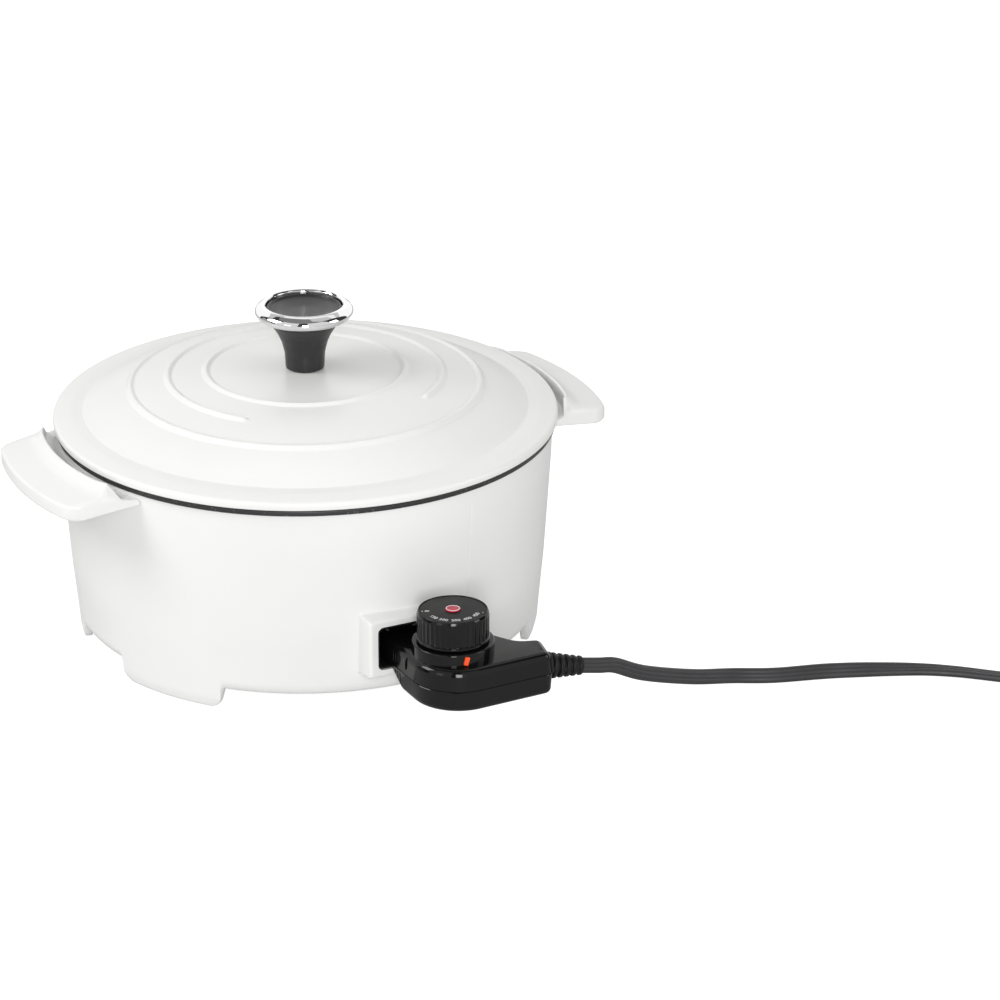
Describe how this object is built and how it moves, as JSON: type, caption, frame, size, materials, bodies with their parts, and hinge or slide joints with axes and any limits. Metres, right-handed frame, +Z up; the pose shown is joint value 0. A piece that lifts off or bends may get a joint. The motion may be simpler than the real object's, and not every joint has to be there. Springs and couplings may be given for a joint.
{
  "type": "slow cooker",
  "caption": "Round white electric slow cooker with ringed lift-off lid, flared knob, wing handles and a plug-in probe control with dial and coiled mains cord.",
  "frame": {"origin": "on the table plane, under the middle of the box of the cooker and its control, cord and plug left out; the pot's axis is at x = 0, y = 0.028 m", "axes": "+Z up, +X towards the right-hand handle, -Y towards the socket and the control"},
  "size_m": [0.5468, 0.5658, 0.1898],
  "materials": {
    "white_enamel": "gloss enamel",
    "white_plastic": "semi-gloss moulding",
    "nonstick": "cast, with a dark speckled non-stick coat",
    "gloss_black": "polished moulding",
    "matt_black": "matt moulding",
    "dark_stem": "satin phenolic moulding",
    "chrome": "polished",
    "steel": "bright",
    "tinplate": "dull sheet",
    "brass": "bright",
    "ceramic": null,
    "element_sheath": "heat-darkened",
    "lamp_glass": "clear, with an orange glow lamp",
    "orange_lens": "translucent orange-red",
    "red_badge": "gloss red",
    "cord_rubber": "matt sheath"
  },
  "bodies": {
    "base": {"outer_shell": "white_plastic", "socket_liner": "matt_black", "inner_pot": "nonstick", "heating_element": "element_sheath", "terminal_pin_1": "steel", "terminal_pin_2": "steel", "pin_insulator_1": "ceramic", "pin_insulator_2": "ceramic", "probe_guide": "steel", "pot_stud_1": "steel", "pot_stud_2": "steel", "pot_stud_3": "steel", "heat_shield": "tinplate", "bottom_cover": "matt_black", "bottom_screw_1": "steel", "bottom_screw_2": "steel", "bottom_screw_3": "steel", "handle_right": "white_plastic", "handle_left": "white_plastic", "handle_screw_1": "steel", "handle_screw_2": "steel", "handle_screw_3": "steel", "handle_screw_4": "steel"},
    "lid": {"lid": "white_enamel", "knob_stem": "dark_stem", "knob_ring": "chrome", "knob_insert": "dark_stem", "knob_washer": "steel", "knob_screw": "steel"},
    "control": {"control_top_shell": "gloss_black", "control_bottom_shell": "gloss_black", "contact_block": "matt_black", "contact_sleeve_1": "brass", "contact_sleeve_2": "brass", "probe_rod": "steel", "thermostat_plate": "steel", "thermostat_stack": "ceramic", "contact_spring_lower": "brass", "contact_spring_upper": "brass", "shaft_bushing": "brass", "pilot_lamp": "lamp_glass", "indicator_lens": "orange_lens", "control_screw_1": "steel", "control_screw_2": "steel", "control_screw_3": "steel", "strain_relief": "matt_black", "cord": "cord_rubber", "cord_coil": "cord_rubber", "cord_tie": "matt_black", "plug_body": "matt_black", "plug_blade_1": "brass", "plug_blade_2": "brass", "plug_ground_pin": "brass"},
    "dial": {"dial_knob": "gloss_black", "dial_face": "matt_black", "dial_badge": "red_badge", "dial_shaft": "brass"}
  },
  "joints": [
    {"name": "lid_lift", "type": "slide", "parent": "base", "child": "lid", "axis": [0, 0, 1], "range_m": [0, 0.15]},
    {"name": "control_pull", "type": "slide", "parent": "base", "child": "control", "axis": [0, -1, 0], "range_m": [0, 0.07]},
    {"name": "dial_turn", "type": "hinge", "parent": "control", "child": "dial", "pos_m": [0.0081, -0.1387, 0.054], "axis": [0, 0, 1], "range_deg": [-60, 105]}
  ]
}
